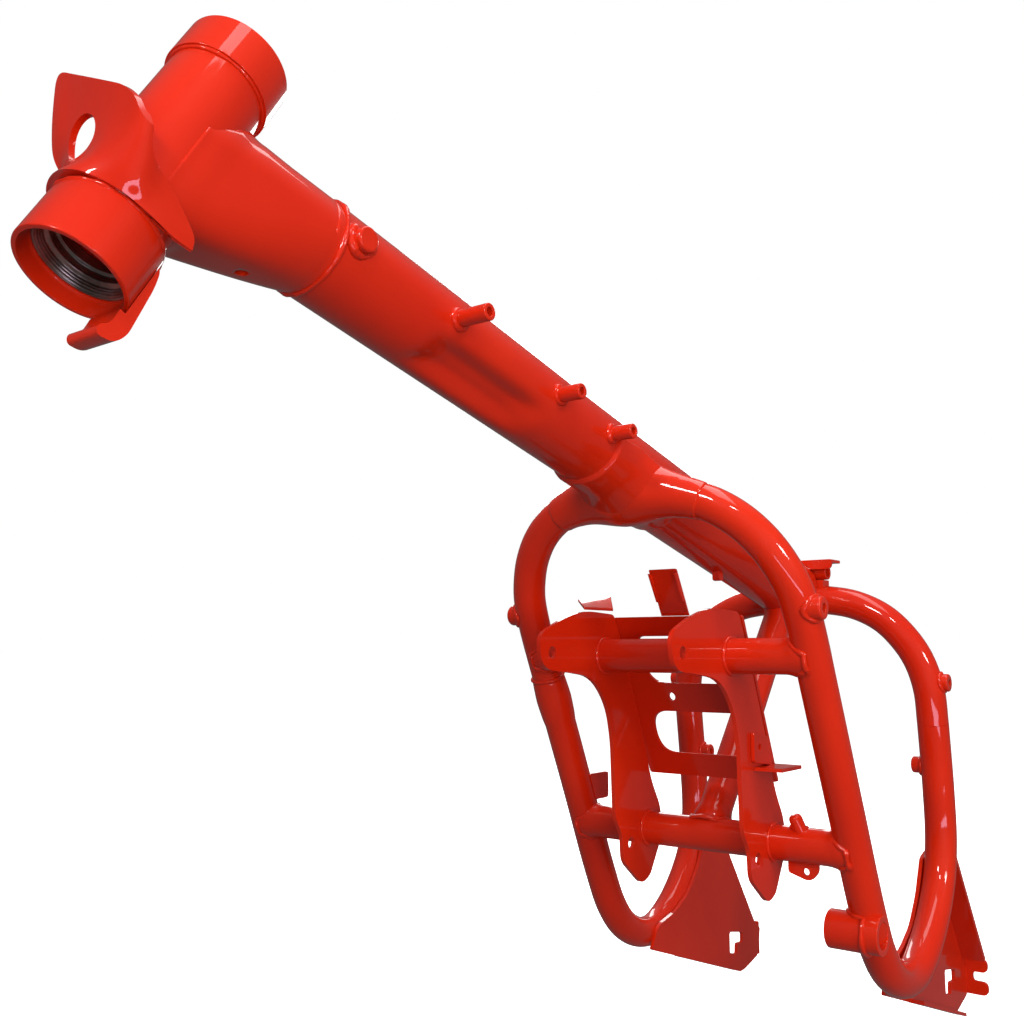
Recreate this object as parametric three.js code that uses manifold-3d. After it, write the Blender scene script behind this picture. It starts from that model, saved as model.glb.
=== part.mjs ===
// Welded steel backbone frame of a small moped: steering head, neck box, spine tube, front hoop,
// side loops, rear arch, engine bracket and the small bosses, tabs and plates that are welded to them.
// Millimetres. +X points forward, +Y to the rider's left, +Z up.
// The parts are placed from the cage point: mid plane, level with the upper cross tube, at X = 0.
import * as THREE from 'three';
import { mergeVertices } from 'three/addons/utils/BufferGeometryUtils.js';
import { ConvexGeometry } from 'three/addons/geometries/ConvexGeometry.js';
import Module from 'manifold-3d';

const wasm = await Module();
wasm.setup();

// Driving dimensions
const GAP = 0.3;
const WALL = 2;
const HOOP_R = 12;
const CROSS_R = 12;
const SPINE_R = 25.4;
const HEAD_R = 23;
const CUP_R = 25;
const HEAD_BORE_R = 19;
const SHEET = 3;
const HOOP_STEPS = 30;
const ARCH_STEPS = 22;
const LOOP_STEPS = 28;
const TUBE_SIDES = 14;
const BORE_SIDES = 8;
const ROUND_SIDES = 26;
const SMALL_SIDES = 12;

// Steering head: lower end on the mid plane, length, lean back from the vertical
const HEAD_FOOT = { x: 448, z: 150 };
const HEAD_LENGTH = 143;
const HEAD_RAKE = THREE.MathUtils.degToRad(32);
const LOWER_CUP_LENGTH = 28;
const UPPER_CUP_LENGTH = 22;

// Spine: its axis is the line z = SPINE_Z + SPINE_SLOPE * x on the mid plane
const SPINE_SLOPE = 0.262;
const SPINE_Z = 112.6;
const NECK_X = 405;
const NECK_REAR_X = 326;
const SPINE_REAR_X = -218;

// Front hoop: lies in the plane x = HOOP_X + HOOP_LEAN * z
const HOOP_X = -7;
const HOOP_LEAN = 0.45;
const LEG_Y = 108;
const JOINT_Z = -16;
const HOOP_TOP_Z = 107.6;

// Rear arch: lies in the plane x = ARCH_X + ARCH_LEAN * z
const ARCH_X = -232;
const ARCH_LEAN = 0.1;
const REAR_LEG_Y = 110;
const ARCH_TOP_Z = 47;
const ARCH_JOINT_Z = -55;

// Cross tubes and engine bracket
const UPPER_CROSS = { x: -5, z: 0 };
const LOWER_CROSS = { x: -63, z: -129 };
const CHEEK_Y = 50.5;
const EAR_HOLE_R = 4.25;
const BACK_PLATE_X = -33;
const BACK_PLATE_LEAN = 0.42;

const PAINT_RED = 0xc81e0f;
const BARE_STEEL = 0x8c8880;

const frame = new THREE.Group();
const nodes = {};

function painted() {
  return new THREE.MeshStandardMaterial({ color: PAINT_RED, roughness: 0.22, metalness: 0.0 });
}

function bareSteel() {
  return new THREE.MeshStandardMaterial({ color: BARE_STEEL, roughness: 0.35, metalness: 1.0 });
}

function toManifold(geometry) {
  const bare = geometry.clone();
  bare.deleteAttribute('normal');
  bare.deleteAttribute('uv');
  const merged = mergeVertices(bare, 1e-4);
  const index = merged.index.array;
  const kept = [];
  for (let i = 0; i < index.length; i += 3) {
    const [a, b, c] = [index[i], index[i + 1], index[i + 2]];
    if (a !== b && b !== c && c !== a) kept.push(a, b, c);
  }
  return new wasm.Manifold(new wasm.Mesh({
    numProp: 3,
    vertProperties: new Float32Array(merged.attributes.position.array),
    triVerts: new Uint32Array(kept),
  }));
}

function toGeometry(manifold) {
  const mesh = manifold.getMesh();
  const geometry = new THREE.BufferGeometry();
  geometry.setAttribute('position', new THREE.BufferAttribute(new Float32Array(mesh.vertProperties), 3));
  geometry.setIndex(new THREE.BufferAttribute(new Uint32Array(mesh.triVerts), 1));
  geometry.computeVertexNormals();
  return geometry;
}

function addNode(name, manifold, material = painted()) {
  const mesh = new THREE.Mesh(toGeometry(manifold), material);
  mesh.name = name;
  nodes[name] = manifold;
  frame.add(mesh);
}

// The same part on the rider's left (+Y) and right
function addPair(name, manifold) {
  addNode(`${name}_left`, manifold);
  addNode(`${name}_right`, mirrored(manifold));
}

function cut(body, ...tools) {
  return tools.reduce((left, tool) => left.subtract(tool), body);
}

function largest(manifold) {
  return manifold.decompose().sort((a, b) => b.volume() - a.volume())[0];
}

function join(body, ...others) {
  return others.reduce((left, other) => left.add(other), body);
}

// Straight round bar from one point to another
function bar(from, to, radius, sides = ROUND_SIDES) {
  const start = new THREE.Vector3(...from);
  const axis = new THREE.Vector3(...to).sub(start);
  const geometry = new THREE.CylinderGeometry(radius, radius, axis.length(), sides);
  geometry.translate(0, axis.length() / 2, 0);
  const turn = new THREE.Quaternion().setFromUnitVectors(new THREE.Vector3(0, 1, 0), axis.normalize());
  geometry.applyQuaternion(turn);
  geometry.translate(start.x, start.y, start.z);
  return toManifold(geometry);
}

// Point on the line from one point to another, extended past the second by a distance
function past(from, to, distance) {
  const end = new THREE.Vector3(...to);
  const axis = end.clone().sub(new THREE.Vector3(...from)).normalize();
  return end.addScaledVector(axis, distance).toArray();
}

function pipe(from, to, radius, boreRadius, sides = ROUND_SIDES, boreSides = sides) {
  const bore = bar(past(to, from, 1), past(from, to, 1), boreRadius, boreSides);
  return cut(bar(from, to, radius, sides), bore);
}

// Round bar along a smooth curve through points
function bentBar(points, radius, steps, sides = TUBE_SIDES) {
  const curve = new THREE.CatmullRomCurve3(points.map((p) => new THREE.Vector3(...p)), false, 'centripetal');
  const section = new THREE.Shape();
  section.absarc(0, 0, radius, 0, 2 * Math.PI);
  const geometry = new THREE.ExtrudeGeometry(section, {
    steps, curveSegments: sides / 2, bevelEnabled: false, extrudePath: curve,
  });
  return toManifold(geometry);
}

function extended(points, distance) {
  return [past(points[1], points[0], distance), ...points.slice(1, -1),
    past(points.at(-2), points.at(-1), distance)];
}

// Hollow bent tube; it runs on past both its ends, to be trimmed where it meets its neighbours
function bentPipe(points, radius, steps) {
  return cut(bentBar(extended(points, 5), radius, steps),
    bentBar(extended(points, 6), radius - WALL, steps, BORE_SIDES));
}

// Closed outline with rounded corners; each corner is [x, y, radius]
function roundedPath(path, corners) {
  corners.forEach(([x, y, radius], i) => {
    const [px, py] = corners.at(i - 1);
    const [nx, ny] = corners[(i + 1) % corners.length];
    const here = new THREE.Vector2(x, y);
    const back = new THREE.Vector2(px - x, py - y);
    const on = new THREE.Vector2(nx - x, ny - y);
    const a = here.clone().addScaledVector(back.clone().normalize(), Math.min(radius, back.length() * 0.49));
    const b = here.clone().addScaledVector(on.clone().normalize(), Math.min(radius, on.length() * 0.49));
    if (i === 0) path.moveTo(a.x, a.y);
    else path.lineTo(a.x, a.y);
    if (radius > 0) path.quadraticCurveTo(x, y, b.x, b.y);
  });
  path.closePath();
  return path;
}

// The corners in the order that makes an outer outline (+1) or a hole (-1)
function wound(corners, turn) {
  const area = THREE.ShapeUtils.area(corners.map(([x, y]) => new THREE.Vector2(x, y)));
  return area * turn > 0 ? corners : [...corners].reverse();
}

function outline(corners) {
  return roundedPath(new THREE.Shape(), wound(corners, 1));
}

function roundHole(x, y, radius) {
  const hole = new THREE.Shape();
  hole.absarc(x, y, radius, 0, 2 * Math.PI);
  return hole;
}

function extrude(shape, low, high) {
  const geometry = new THREE.ExtrudeGeometry(shape, { depth: high - low, bevelEnabled: false, curveSegments: 5 });
  geometry.translate(0, 0, low);
  return toManifold(geometry);
}

// Flat plate in the xy plane with holes through it
function sheet(shape, holes, low, high) {
  return cut(extrude(shape, low, high), ...holes.map((hole) => extrude(hole, low - 1, high + 1)));
}

function placed(manifold, xAxis, yAxis, zAxis, at) {
  const place = new THREE.Matrix4().makeBasis(
    new THREE.Vector3(...xAxis), new THREE.Vector3(...yAxis), new THREE.Vector3(...zAxis));
  place.setPosition(...at);
  return manifold.transform(place.elements);
}

// Flat plate whose outline is drawn in x and z, between two y values
function sidePlate(shape, yLow, yHigh, holes = []) {
  const flat = sheet(shape, holes, -yHigh, -yLow);
  return placed(flat, [1, 0, 0], [0, 0, 1], [0, -1, 0], [0, 0, 0]);
}

// Flat plate in a leaning plane x = x0 + lean * z, outline drawn in y and z, thickness rearwards
function leaningPlate(shape, x0, lean, depth, holes = []) {
  return placed(sheet(shape, holes, -depth, 0), [0, 1, 0], [lean, 0, 1], [1, 0, 0], [x0, 0, 0]);
}

function box(low, high) {
  const size = high.map((v, i) => v - low[i]);
  const geometry = new THREE.BoxGeometry(...size);
  geometry.translate(...low.map((v, i) => v + size[i] / 2));
  return toManifold(geometry);
}

function mirrored(manifold) {
  return manifold.mirror([0, 1, 0]);
}

const spineAt = (x, y = 0) => [x, y, SPINE_Z + SPINE_SLOPE * x];
const hoopAt = (y, z) => [HOOP_X + HOOP_LEAN * z, y, z];
const archAt = (y, z) => [ARCH_X + ARCH_LEAN * z, y, z];

// Point at a distance up the steering axis, and off it forwards and sideways
function headAt(up, forward = 0, side = 0) {
  const [s, c] = [Math.sin(HEAD_RAKE), Math.cos(HEAD_RAKE)];
  return [HEAD_FOOT.x - s * up + c * forward, side, HEAD_FOOT.z + c * up + s * forward];
}

// Turned ring on the steering axis; the profile is [radius, distance up]
function headRing(profile) {
  const points = [...profile, profile[0]].map(([r, up]) => new THREE.Vector2(r, up));
  const geometry = new THREE.LatheGeometry(points, ROUND_SIDES);
  geometry.rotateX(Math.PI / 2);
  geometry.rotateY(-HEAD_RAKE);
  geometry.translate(HEAD_FOOT.x, 0, HEAD_FOOT.z);
  const ring = toManifold(geometry);
  return ring.volume() > 0 ? ring : toManifold(flipped(geometry));
}

// Solid from points and triangles, turned outwards whichever way they wind
function indexedSolid(position, index) {
  const geometry = new THREE.BufferGeometry();
  geometry.setAttribute('position', new THREE.Float32BufferAttribute(position, 3));
  geometry.setIndex(new THREE.BufferAttribute(new Uint32Array(index), 1));
  const solid = toManifold(geometry);
  return solid.volume() > 0 ? solid : toManifold(flipped(geometry));
}

function flipped(geometry) {
  const turned = geometry.clone();
  const index = turned.index.array;
  for (let i = 0; i < index.length; i += 3) [index[i], index[i + 1]] = [index[i + 1], index[i]];
  return turned;
}

// Clearance bodies that the neighbours are cut with
const headSpace = bar(headAt(-5), headAt(HEAD_LENGTH + 5), HEAD_R + GAP);
const cupSpace = bar(headAt(-5), headAt(LOWER_CUP_LENGTH + GAP), CUP_R + GAP);
const behindSpine = box([SPINE_REAR_X - 60, -40, 0], [SPINE_REAR_X, 40, 120]);
const spineSpace = cut(bar(spineAt(NECK_REAR_X + 40), spineAt(SPINE_REAR_X - 20), SPINE_R + GAP),
  behindSpine.translate([-GAP, 0, 0]));
const upperCrossSpace = bar([UPPER_CROSS.x, -LEG_Y, UPPER_CROSS.z], [UPPER_CROSS.x, LEG_Y, UPPER_CROSS.z],
  CROSS_R + GAP, TUBE_SIDES);
const lowerCrossSpace = bar([LOWER_CROSS.x, -LEG_Y, LOWER_CROSS.z], [LOWER_CROSS.x, LEG_Y, LOWER_CROSS.z],
  CROSS_R + GAP, TUBE_SIDES);

// Front hoop: an arch from joint to joint
const HOOP_HALF = [[108, JOINT_Z], [108, 6], [107.5, 24], [105.5, 42], [100.5, 56.5], [92.5, 71],
  [80.5, 84.8], [66, 95.3], [50, 102.2], [28, 106.5]];
const hoopPoints = [...HOOP_HALF.map(([y, z]) => hoopAt(-y, z)), hoopAt(0, HOOP_TOP_Z),
  ...HOOP_HALF.map(([y, z]) => hoopAt(y, z)).reverse()];

// Rear arch
const ARCH_HALF = [[110, ARCH_JOINT_Z], [109, -28], [103.5, -6], [93.5, 12], [77, 29.5], [55, 41], [30, 46]];
const archPoints = [...ARCH_HALF.map(([y, z]) => archAt(-y, z)), archAt(0, ARCH_TOP_Z),
  ...ARCH_HALF.map(([y, z]) => archAt(y, z)).reverse()];

// Side loop: down the front leg, round the bottom and up the rear leg
const LOOP = [[-54, -104], [-84, -171], [-100, -200], [-118, -218.5], [-142, -229.5], [-166, -230.5],
  [-192, -219.5], [-218, -198], [-236, -173], [-244, -145], [-243, -105]];
function loopPoints(side) {
  const front = hoopAt(side * LEG_Y, JOINT_Z - GAP);
  const rear = archAt(side * REAR_LEG_Y, ARCH_JOINT_Z - GAP);
  const middle = LOOP.map(([x, z], i) => {
    const y = LEG_Y + (REAR_LEG_Y - LEG_Y) * (i / (LOOP.length - 1));
    return [x, side * y, z];
  });
  return [front, ...middle, rear];
}

const hoopSpace = bentBar(hoopPoints, HOOP_R + GAP, HOOP_STEPS);
const archSpace = bentBar(archPoints, HOOP_R + GAP, ARCH_STEPS);
const loopSpace = bentBar(loopPoints(1), HOOP_R + GAP, LOOP_STEPS);

// Steering head
function buildHead() {
  const top = HEAD_LENGTH;
  addNode('head_tube', pipe(headAt(LOWER_CUP_LENGTH + GAP), headAt(top - UPPER_CUP_LENGTH - GAP), HEAD_R,
    HEAD_BORE_R));
  const cupRim = 22.8;
  const seatR = 21.6;
  const shoulderR = 17.5;
  addNode('lower_bearing_cup', headRing([[cupRim, 0], [CUP_R - 0.8, 0], [CUP_R, 0.8], [CUP_R, LOWER_CUP_LENGTH],
    [shoulderR, LOWER_CUP_LENGTH], [shoulderR, 23], [seatR, 23], [seatR, 8], [cupRim, 8]]));
  addNode('upper_bearing_cup', headRing([[cupRim, top], [cupRim, top - 6], [seatR, top - 6], [seatR, top - 18],
    [shoulderR, top - 18], [shoulderR, top - UPPER_CUP_LENGTH], [CUP_R, top - UPPER_CUP_LENGTH],
    [CUP_R, top - 0.8], [CUP_R - 0.8, top]]));
  addNode('lower_bearing_race', headRing([[20.4, 9], [seatR - GAP, 9], [seatR - GAP, 22.7], [15.5, 22.7],
    [15.5, 19], [17.2, 19], [17.2, 14], [19, 14], [20.4, 12]]), bareSteel());
  addNode('upper_bearing_race', headRing([[20.4, top - 7], [20.4, top - 10], [19, top - 12], [17.2, top - 12],
    [17.2, top - 15], [15.5, top - 15], [15.5, top - 17.7], [seatR - GAP, top - 17.7],
    [seatR - GAP, top - 7]]), bareSteel());
}

// Neck box: a loft from a tall boxed section at the head to the round spine, in two pressed halves
function neckSection(t, inset) {
  const reach = NECK_X - NECK_REAR_X;
  const x = NECK_X - reach * t;
  const ease = t * t * (3 - 2 * t);
  const width = THREE.MathUtils.lerp(24.2, SPINE_R, ease) - inset;
  const up = THREE.MathUtils.lerp(25.5, SPINE_R, ease) - inset;
  const down = THREE.MathUtils.lerp(45, SPINE_R, t) - inset;
  const square = THREE.MathUtils.lerp(5, 2, Math.min(1, t * 1.05));
  const points = [];
  for (let i = 0; i < ROUND_SIDES; i++) {
    const a = (2 * Math.PI * i) / ROUND_SIDES;
    const power = Math.sin(a) < 0 ? 2 / square : 1;
    const y = width * Math.sign(Math.cos(a)) * Math.abs(Math.cos(a)) ** power;
    const h = (Math.sin(a) < 0 ? down : up) * Math.sign(Math.sin(a)) * Math.abs(Math.sin(a)) ** power;
    const tilt = Math.atan(SPINE_SLOPE);
    const [, , z] = spineAt(x);
    points.push(new THREE.Vector3(x - Math.sin(tilt) * h, y, z + Math.cos(tilt) * h));
  }
  return points;
}

function neckSolid(inset, from, to) {
  const rings = 5;
  const position = [];
  const index = [];
  for (let r = 0; r <= rings; r++) {
    for (const p of neckSection(from + ((to - from) * r) / rings, inset)) position.push(p.x, p.y, p.z);
  }
  const n = ROUND_SIDES;
  for (let r = 0; r < rings; r++) {
    for (let i = 0; i < n; i++) {
      const [a, b] = [r * n + i, r * n + ((i + 1) % n)];
      index.push(a, a + n, b, b, a + n, b + n);
    }
  }
  for (let i = 1; i < n - 1; i++) {
    index.push(0, i, i + 1);
    index.push(rings * n, rings * n + i + 1, rings * n + i);
  }
  return indexedSolid(position, index);
}

function buildNeck() {
  const shell = cut(neckSolid(0, 0, 1), neckSolid(SHEET, -0.05, 1.05), headSpace, cupSpace);
  const leftSide = box([200, GAP / 2, 0], [500, 60, 400]);
  const drain = bar([366, 0, 150], [366, 0, 185], 3.2, SMALL_SIDES);
  addNode('neck_gusset_left', cut(shell.intersect(leftSide), drain));
  addNode('neck_gusset_right', cut(shell.intersect(mirrored(leftSide)), drain));
}

// Stud on the neck's rear weld
const BOSS_X = 316;
const BOSS_Z = 198;

// Spine tube with a notch for the front hoop
function buildSpine() {
  const from = spineAt(NECK_REAR_X - GAP);
  const to = spineAt(SPINE_REAR_X - 20);
  const tube = cut(pipe(from, to, SPINE_R, SPINE_R - WALL), hoopSpace, archSpace, behindSpine);
  addNode('spine_tube', largest(tube));
  addNode('neck_boss', cut(bar([BOSS_X, 8, BOSS_Z], [BOSS_X, 31, BOSS_Z], 6.5, SMALL_SIDES),
    bar(spineAt(350), spineAt(250), SPINE_R + GAP)));
  const studs = [['spine_boss_front', 244, 46], ['spine_boss_middle', 153, 41], ['spine_boss_rear', 97, 41]];
  for (const [name, x, tip] of studs) {
    const [, , z] = spineAt(x);
    const stud = bar([x, 15, z + 1], [x, tip, z + 1], 4.7, SMALL_SIDES);
    const hole = bar([x, SPINE_R + 4, z + 1], [x, tip + 1, z + 1], 2.4, 10);
    addNode(name, cut(stud, spineSpace, hole));
  }
  addNode('spine_clip', sidePlate(outline([[-91, 69, 0], [-85, 70, 0], [-85, 57, 2], [-91, 56.5, 2]]), -3, 3)
    .subtract(spineSpace));
}

// Saddle: a pressed cradle that joins the spine to the front hoop
function buildSaddle() {
  const sleeve = bar(spineAt(126), spineAt(40), SPINE_R + SHEET + GAP);
  const keepLow = sidePlate(outline([[140, 100, 0], [126, 111, 0], [96, 130, 8], [62, 136, 10], [44, 125, 0],
    [30, 117, 0], [20, 60, 0], [140, 60, 0]]), -60, 60);
  const cover = bentBar([-57, -38, -19, 0, 19, 38, 57].map((y) => {
    const drop = (y / 57) ** 2 * 8.5;
    return hoopAt(y, HOOP_TOP_Z - drop);
  }), HOOP_R + SHEET, 14);
  const web = [];
  for (const side of [-1, 1]) {
    web.push([118, side * 8, 119], [106, side * 20, 124], [88, side * 25, 132], [54, side * 38, 100],
      [50, side * 38, 114]);
  }
  web.push([116, 0, 115], [58, 0, 98]);
  const wedge = toManifold(new ConvexGeometry(web.map((p) => new THREE.Vector3(...p))));
  const behind = leaningPlate(outline([[-90, 60, 0], [90, 60, 0], [90, 180, 0], [-90, 180, 0]]),
    HOOP_X - 6, HOOP_LEAN, 60);
  const saddle = cut(join(sleeve.intersect(keepLow), wedge, cover), spineSpace, hoopSpace, behind);
  addNode('arch_saddle', largest(saddle));
}

function buildCage() {
  const belowHoop = box([-150, -150, JOINT_Z - 60], [150, 150, JOINT_Z]);
  const belowArch = box([-350, -150, ARCH_JOINT_Z - 60], [-150, 150, ARCH_JOINT_Z]);
  const aboveLoops = join(box([-150, -150, JOINT_Z - GAP], [150, 150, JOINT_Z + 60]),
    box([-350, -150, ARCH_JOINT_Z - GAP], [-150, 150, JOINT_Z + 60]));
  addNode('front_hoop', cut(bentPipe(hoopPoints, HOOP_R, HOOP_STEPS), belowHoop));
  addNode('rear_arch', cut(bentPipe(archPoints, HOOP_R, ARCH_STEPS), belowArch));
  const pivotSpace = bar(PIVOT_FROM, past(PIVOT_FROM, PIVOT_TO, 15), PIVOT_R + GAP, 20);
  const loop = cut(bentPipe(loopPoints(1), HOOP_R, LOOP_STEPS), aboveLoops);
  addNode('side_loop_left', cut(loop, pivotSpace));
  addNode('side_loop_right', mirrored(loop));
  for (const [name, at, space] of [['upper_cross_tube', UPPER_CROSS], ['lower_cross_tube', LOWER_CROSS]]) {
    const tube = pipe([at.x, -LEG_Y + 1, at.z], [at.x, LEG_Y - 1, at.z], CROSS_R, CROSS_R - WALL, TUBE_SIDES,
      BORE_SIDES);
    addNode(name, largest(cut(tube, hoopSpace, loopSpace, mirrored(loopSpace))));
  }
  const strut = pipe([-210, 0, 48.2], [-69, 0, -121.2], CROSS_R, CROSS_R - WALL, TUBE_SIDES, BORE_SIDES);
  addNode('centre_strut', largest(cut(strut, archSpace, spineSpace, lowerCrossSpace)));
}

const PIVOT_R = 13;
const PIVOT_FROM = [-79, 84, -185];
const PIVOT_TO = [-79, 120.5, -185];

// Engine bracket: two cheeks on the cross tubes and a slotted back plate between them
const CHEEK = [[76, 14, 9], [72, -9, 12], [46, -11, 10], [12, -15, 14], [-8, -36, 14], [-14, -62, 10],
  [-16, -117, 6], [-25, -130, 5], [-26, -149, 6], [-51, -168.5, 6], [-63, -164, 4], [-81, -137, 6],
  [-80, -116, 8], [-66, -93, 10], [-58, -66, 8], [-46, -36, 6], [-36, -12, 4], [-24, 16, 3], [-17, 30, 4],
  [22, 32, 14], [50, 25, 14]];

function buildBracket() {
  const holes = [roundHole(60.7, 2.2, EAR_HOLE_R), roundHole(-37, -137, EAR_HOLE_R)];
  const behindCheeks = leaningPlate(outline([[-90, -95, 0], [90, -95, 0], [90, 60, 0], [-90, 60, 0]]),
    BACK_PLATE_X + GAP, BACK_PLATE_LEAN, 40);
  const cheek = cut(sidePlate(outline(CHEEK), CHEEK_Y - SHEET / 2, CHEEK_Y + SHEET / 2, holes), upperCrossSpace,
    lowerCrossSpace, behindCheeks);
  addPair('bracket_cheek', cheek);
  const half = CHEEK_Y + SHEET / 2;
  const plate = outline([[-half, 28, 2], [half, 28, 2], [half, -89, 2], [-half, -89, 2]]);
  const openings = [
    outline([[-36, 14, 5], [36, 14, 5], [36, -20, 8], [-28, -20, 8], [-36, -10, 8]]),
    outline([[-39, -48, 8], [-32, -41, 8], [38, -41, 8], [38, -72, 8], [-32, -72, 8], [-39, -64, 8]]),
    roundHole(-18, -30, 3),
  ];
  addNode('bracket_back_plate', leaningPlate(plate, BACK_PLATE_X, BACK_PLATE_LEAN, SHEET, openings)
    .subtract(upperCrossSpace));
  const strapPlate = leaningPlate(outline([[-11, 28 + GAP, 0], [11, 28 + GAP, 0], [9, 61, 1], [-13, 61, 1]]),
    BACK_PLATE_X, BACK_PLATE_LEAN, 2);
  const lips = [-1, 1].map((side) => leaningPlate(outline(side < 0
    ? [[-11, 38, 0], [-9.5, 38, 0], [-11.3, 58, 0], [-12.8, 58, 0]]
    : [[9.5, 38, 0], [11, 38, 0], [9.2, 58, 0], [7.7, 58, 0]]), BACK_PLATE_X + 3, BACK_PLATE_LEAN, 4));
  addNode('cable_strap', join(strapPlate, ...lips));
  const tab = [[22, -49, 32.4], [-16, -49, 32.4], [8, -64, 39], [-36, -64, 43]];
  const tabPoints = [...tab, ...tab.map(([x, y, z]) => [x, y, z + 2])];
  addNode('cheek_top_tab', toManifold(new ConvexGeometry(tabPoints.map((p) => new THREE.Vector3(...p)))));
}

// Small welded fittings
function buildFittings() {
  const hoopBossAt = hoopAt(119, 30);
  const boss = cut(bar([hoopBossAt[0] + 3, 108, 30], [hoopBossAt[0] + 3, 124, 30], 7.5, SMALL_SIDES),
    bar([hoopBossAt[0] + 3, 115, 30], [hoopBossAt[0] + 3, 130, 30], 3, SMALL_SIDES), hoopSpace);
  addPair('hoop_boss', largest(boss));
  const legX = ARCH_X + ARCH_LEAN * -88 - 2;
  const inner = cut(bar([legX, 91, -88], [legX, 108, -88], 6.5, SMALL_SIDES),
    bar([legX, 90, -88], [legX, 96, -88], 2.6, 10), loopSpace);
  addPair('rear_leg_boss', largest(inner));
  const topBoss = cut(bar([-236, 108, -22], [-236, 125, -22], 7, SMALL_SIDES),
    bar([-236, 119, -22], [-236, 130, -22], 2.6, 10), archSpace);
  addPair('rear_arch_boss', largest(topBoss));
  addNode('pivot_tube', pipe(PIVOT_FROM, PIVOT_TO, PIVOT_R, 8.7, 24));
  addNode('cross_tube_pin', cut(bar([LOWER_CROSS.x, 76, LOWER_CROSS.z], [-56, 70, -108], 4.6,
    SMALL_SIDES), lowerCrossSpace));
  const tab = outline([[62, -136, 0], [84, -136, 0], [84, -146, 3], [78, -153, 5], [62, -148, 2]]);
  addNode('hanging_tab', leaningPlate(tab, -62, 0, 2.5, [roundHole(75, -146.5, 2.4)])
    .subtract(lowerCrossSpace));
  addNode('cheek_side_tab', join(
    sidePlate(outline([[-30, -52, 2], [-54, -56, 1], [-58, -76, 1], [-30, -72, 2]]), CHEEK_Y + SHEET / 2 + GAP,
      CHEEK_Y + SHEET / 2 + GAP + 2.5, [roundHole(-38, -62, 2.4)]),
    box([-66, CHEEK_Y + SHEET / 2 + GAP, -78], [-34, CHEEK_Y + 22, -75.5])));
  addNode('leg_tab', cut(sidePlate(outline([[-52, -92, 2], [-78, -92, 2], [-78, -112, 3], [-60, -112, 2]]),
    -98, -95.5), mirrored(loopSpace)));
}

// Gusset plates at the bottom of the rear legs, with a folded rear flange and a forked lug
function buildRearPlates() {
  const face = outline([[-140, -241.5, 2], [-300, -294, 8], [-335, -286, 5], [-340, -262, 2], [-328, -254, 2],
    [-263, -160, 4], [-250, -156, 3], [-236, -160, 3], [-222, -186, 6], [-204, -206, 8], [-180, -218, 8],
    [-150, -224, 8]]);
  const hookedHole = outline([[-277, -254, 3], [-303, -259, 3], [-303, -268, 2], [-292, -267, 2], [-291, -276, 2],
    [-277, -273, 3]]);
  const inner = REAR_LEG_Y - HOOP_R - GAP - SHEET;
  const plate = sidePlate(face, inner, inner + SHEET, [hookedHole]);
  const flange = sidePlate(outline([[-263, -160, 0], [-328, -253, 0], [-325, -255, 0], [-260, -162, 0]]), inner,
    inner + 21);
  const fork = leaningPlate(outline([[inner, -256, 0], [inner + 20, -256, 5], [inner + 20, -267, 5],
    [inner + 8, -267, 3], [inner + 8, -274.5, 3], [inner + 20, -274.5, 5], [inner + 20, -285.5, 5],
    [inner, -285.5, 0]]), -335, 0, SHEET);
  const lip = sidePlate(outline([[-196, -260, 0], [-299, -293.8, 0], [-298, -290.8, 0], [-196, -257, 0]]), inner,
    inner + 12);
  const whole = cut(join(plate, flange, fork, lip), loopSpace);
  addPair('rear_plate', largest(whole));
}

// Seat hinge on the rear arch
function buildSeatBracket() {
  const x = ARCH_X + ARCH_LEAN * ARCH_TOP_Z;
  addNode('seat_hinge_tube', pipe([x - 2, -31, 70], [x - 2, 31, 70], 6.5, 4.5, SMALL_SIDES, 10));
  addNode('seat_bracket_plate', cut(join(
    leaningPlate(outline([[-38, 72, 3], [38, 72, 3], [40, 80, 3], [-40, 80, 3]]), x + 10, 0, 2.5),
    box([x - 12, -38, 77.5], [x + 10, 38, 80])), archSpace, spineSpace));
  const foot = cut(box([x - 6, 14, 50], [x + 7.2, 30, 63]), archSpace);
  addPair('seat_foot', cut(foot, bar([x - 2, -40, 70], [x - 2, 40, 70], 6.5 + GAP, SMALL_SIDES)));
}

// Neck bracket: one bent sheet. It lies on the head tube above the lower cup, folds forward into a tall
// ear and turns back along both sides. Each row runs from the cup's edge up to the free edge,
// from the rear of the left side round the front to the rear of the right side.
const BRACKET_NET = [
  [[402, 26, 161], [402, 27, 165], [401, 27, 170], [399, 27, 178]],
  [[409, 26, 164], [409, 27, 168], [408, 27, 173], [406, 27, 184]],
  [[420, 26.6, 167], [420, 27.5, 172], [419, 28, 179], [417, 28, 193]],
  [[431, 26.6, 173], [430, 28, 179], [429, 29, 187], [428, 30, 200]],
  [[441, 24, 180], [440, 28, 186], [437, 32, 193], [435, 35.5, 208]],
  [[447, 19, 184], [444, 25, 193], [441, 32, 203], [441, 37, 222]],
  [[452.5, 11, 187.5], [446.5, 15, 197], [443, 21, 210], [443, 28, 236]],
  [[455, 0, 189], [446, 1, 199], [443.5, 4, 215], [444, 6, 247]],
  [[452.5, -11, 187.5], [444.5, -12, 199], [443.5, -12, 218], [443.5, -13, 253]],
  [[447, -19, 184], [440, -22, 195], [443.5, -24, 215], [443, -28, 254]],
  [[441, -24, 180], [438, -28, 188], [440, -31, 203], [442, -35, 232]],
  [[431, -26.6, 173], [431, -29, 179], [431, -30, 188], [431, -31, 202]],
  [[420, -26.6, 167], [420, -28, 172], [419, -28, 178], [417, -28, 184]],
  [[409, -26, 164], [409, -27, 168], [408, -27, 171], [406, -27, 174]],
];

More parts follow.
